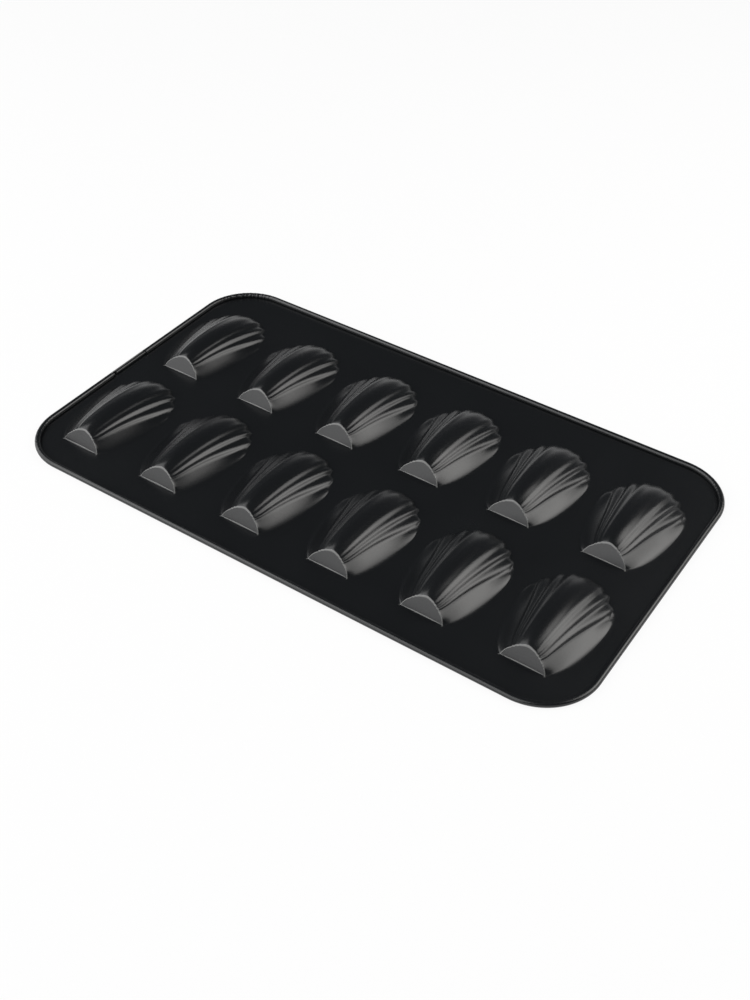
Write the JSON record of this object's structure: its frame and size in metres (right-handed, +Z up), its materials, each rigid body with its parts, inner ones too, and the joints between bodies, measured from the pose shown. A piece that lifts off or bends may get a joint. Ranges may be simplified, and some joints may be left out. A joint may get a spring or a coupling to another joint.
{
  "type": "madeleine pan",
  "caption": "Steel baking pan with rows of shallow shell-shaped cups and a rolled, wired rim, lying upside down.",
  "frame": {"origin": "middle of the pan's outline, on the flat face that it lies on when it is upside down", "axes": "+X along the long side, +Y along the cups from their flat facets to their scalloped ends, +Z up through the domes of the cups; turn it by 180 degrees about X for baking"},
  "size_m": [0.3848, 0.2254, 0.0125],
  "materials": {
    "non_stick_steel": "black non-stick coating, satin",
    "coated_wire": "black coating over drawn steel wire, satin"
  },
  "bodies": {
    "root": {"pressed_sheet": "non_stick_steel", "rim_wire": "coated_wire"}
  },
  "joints": []
}
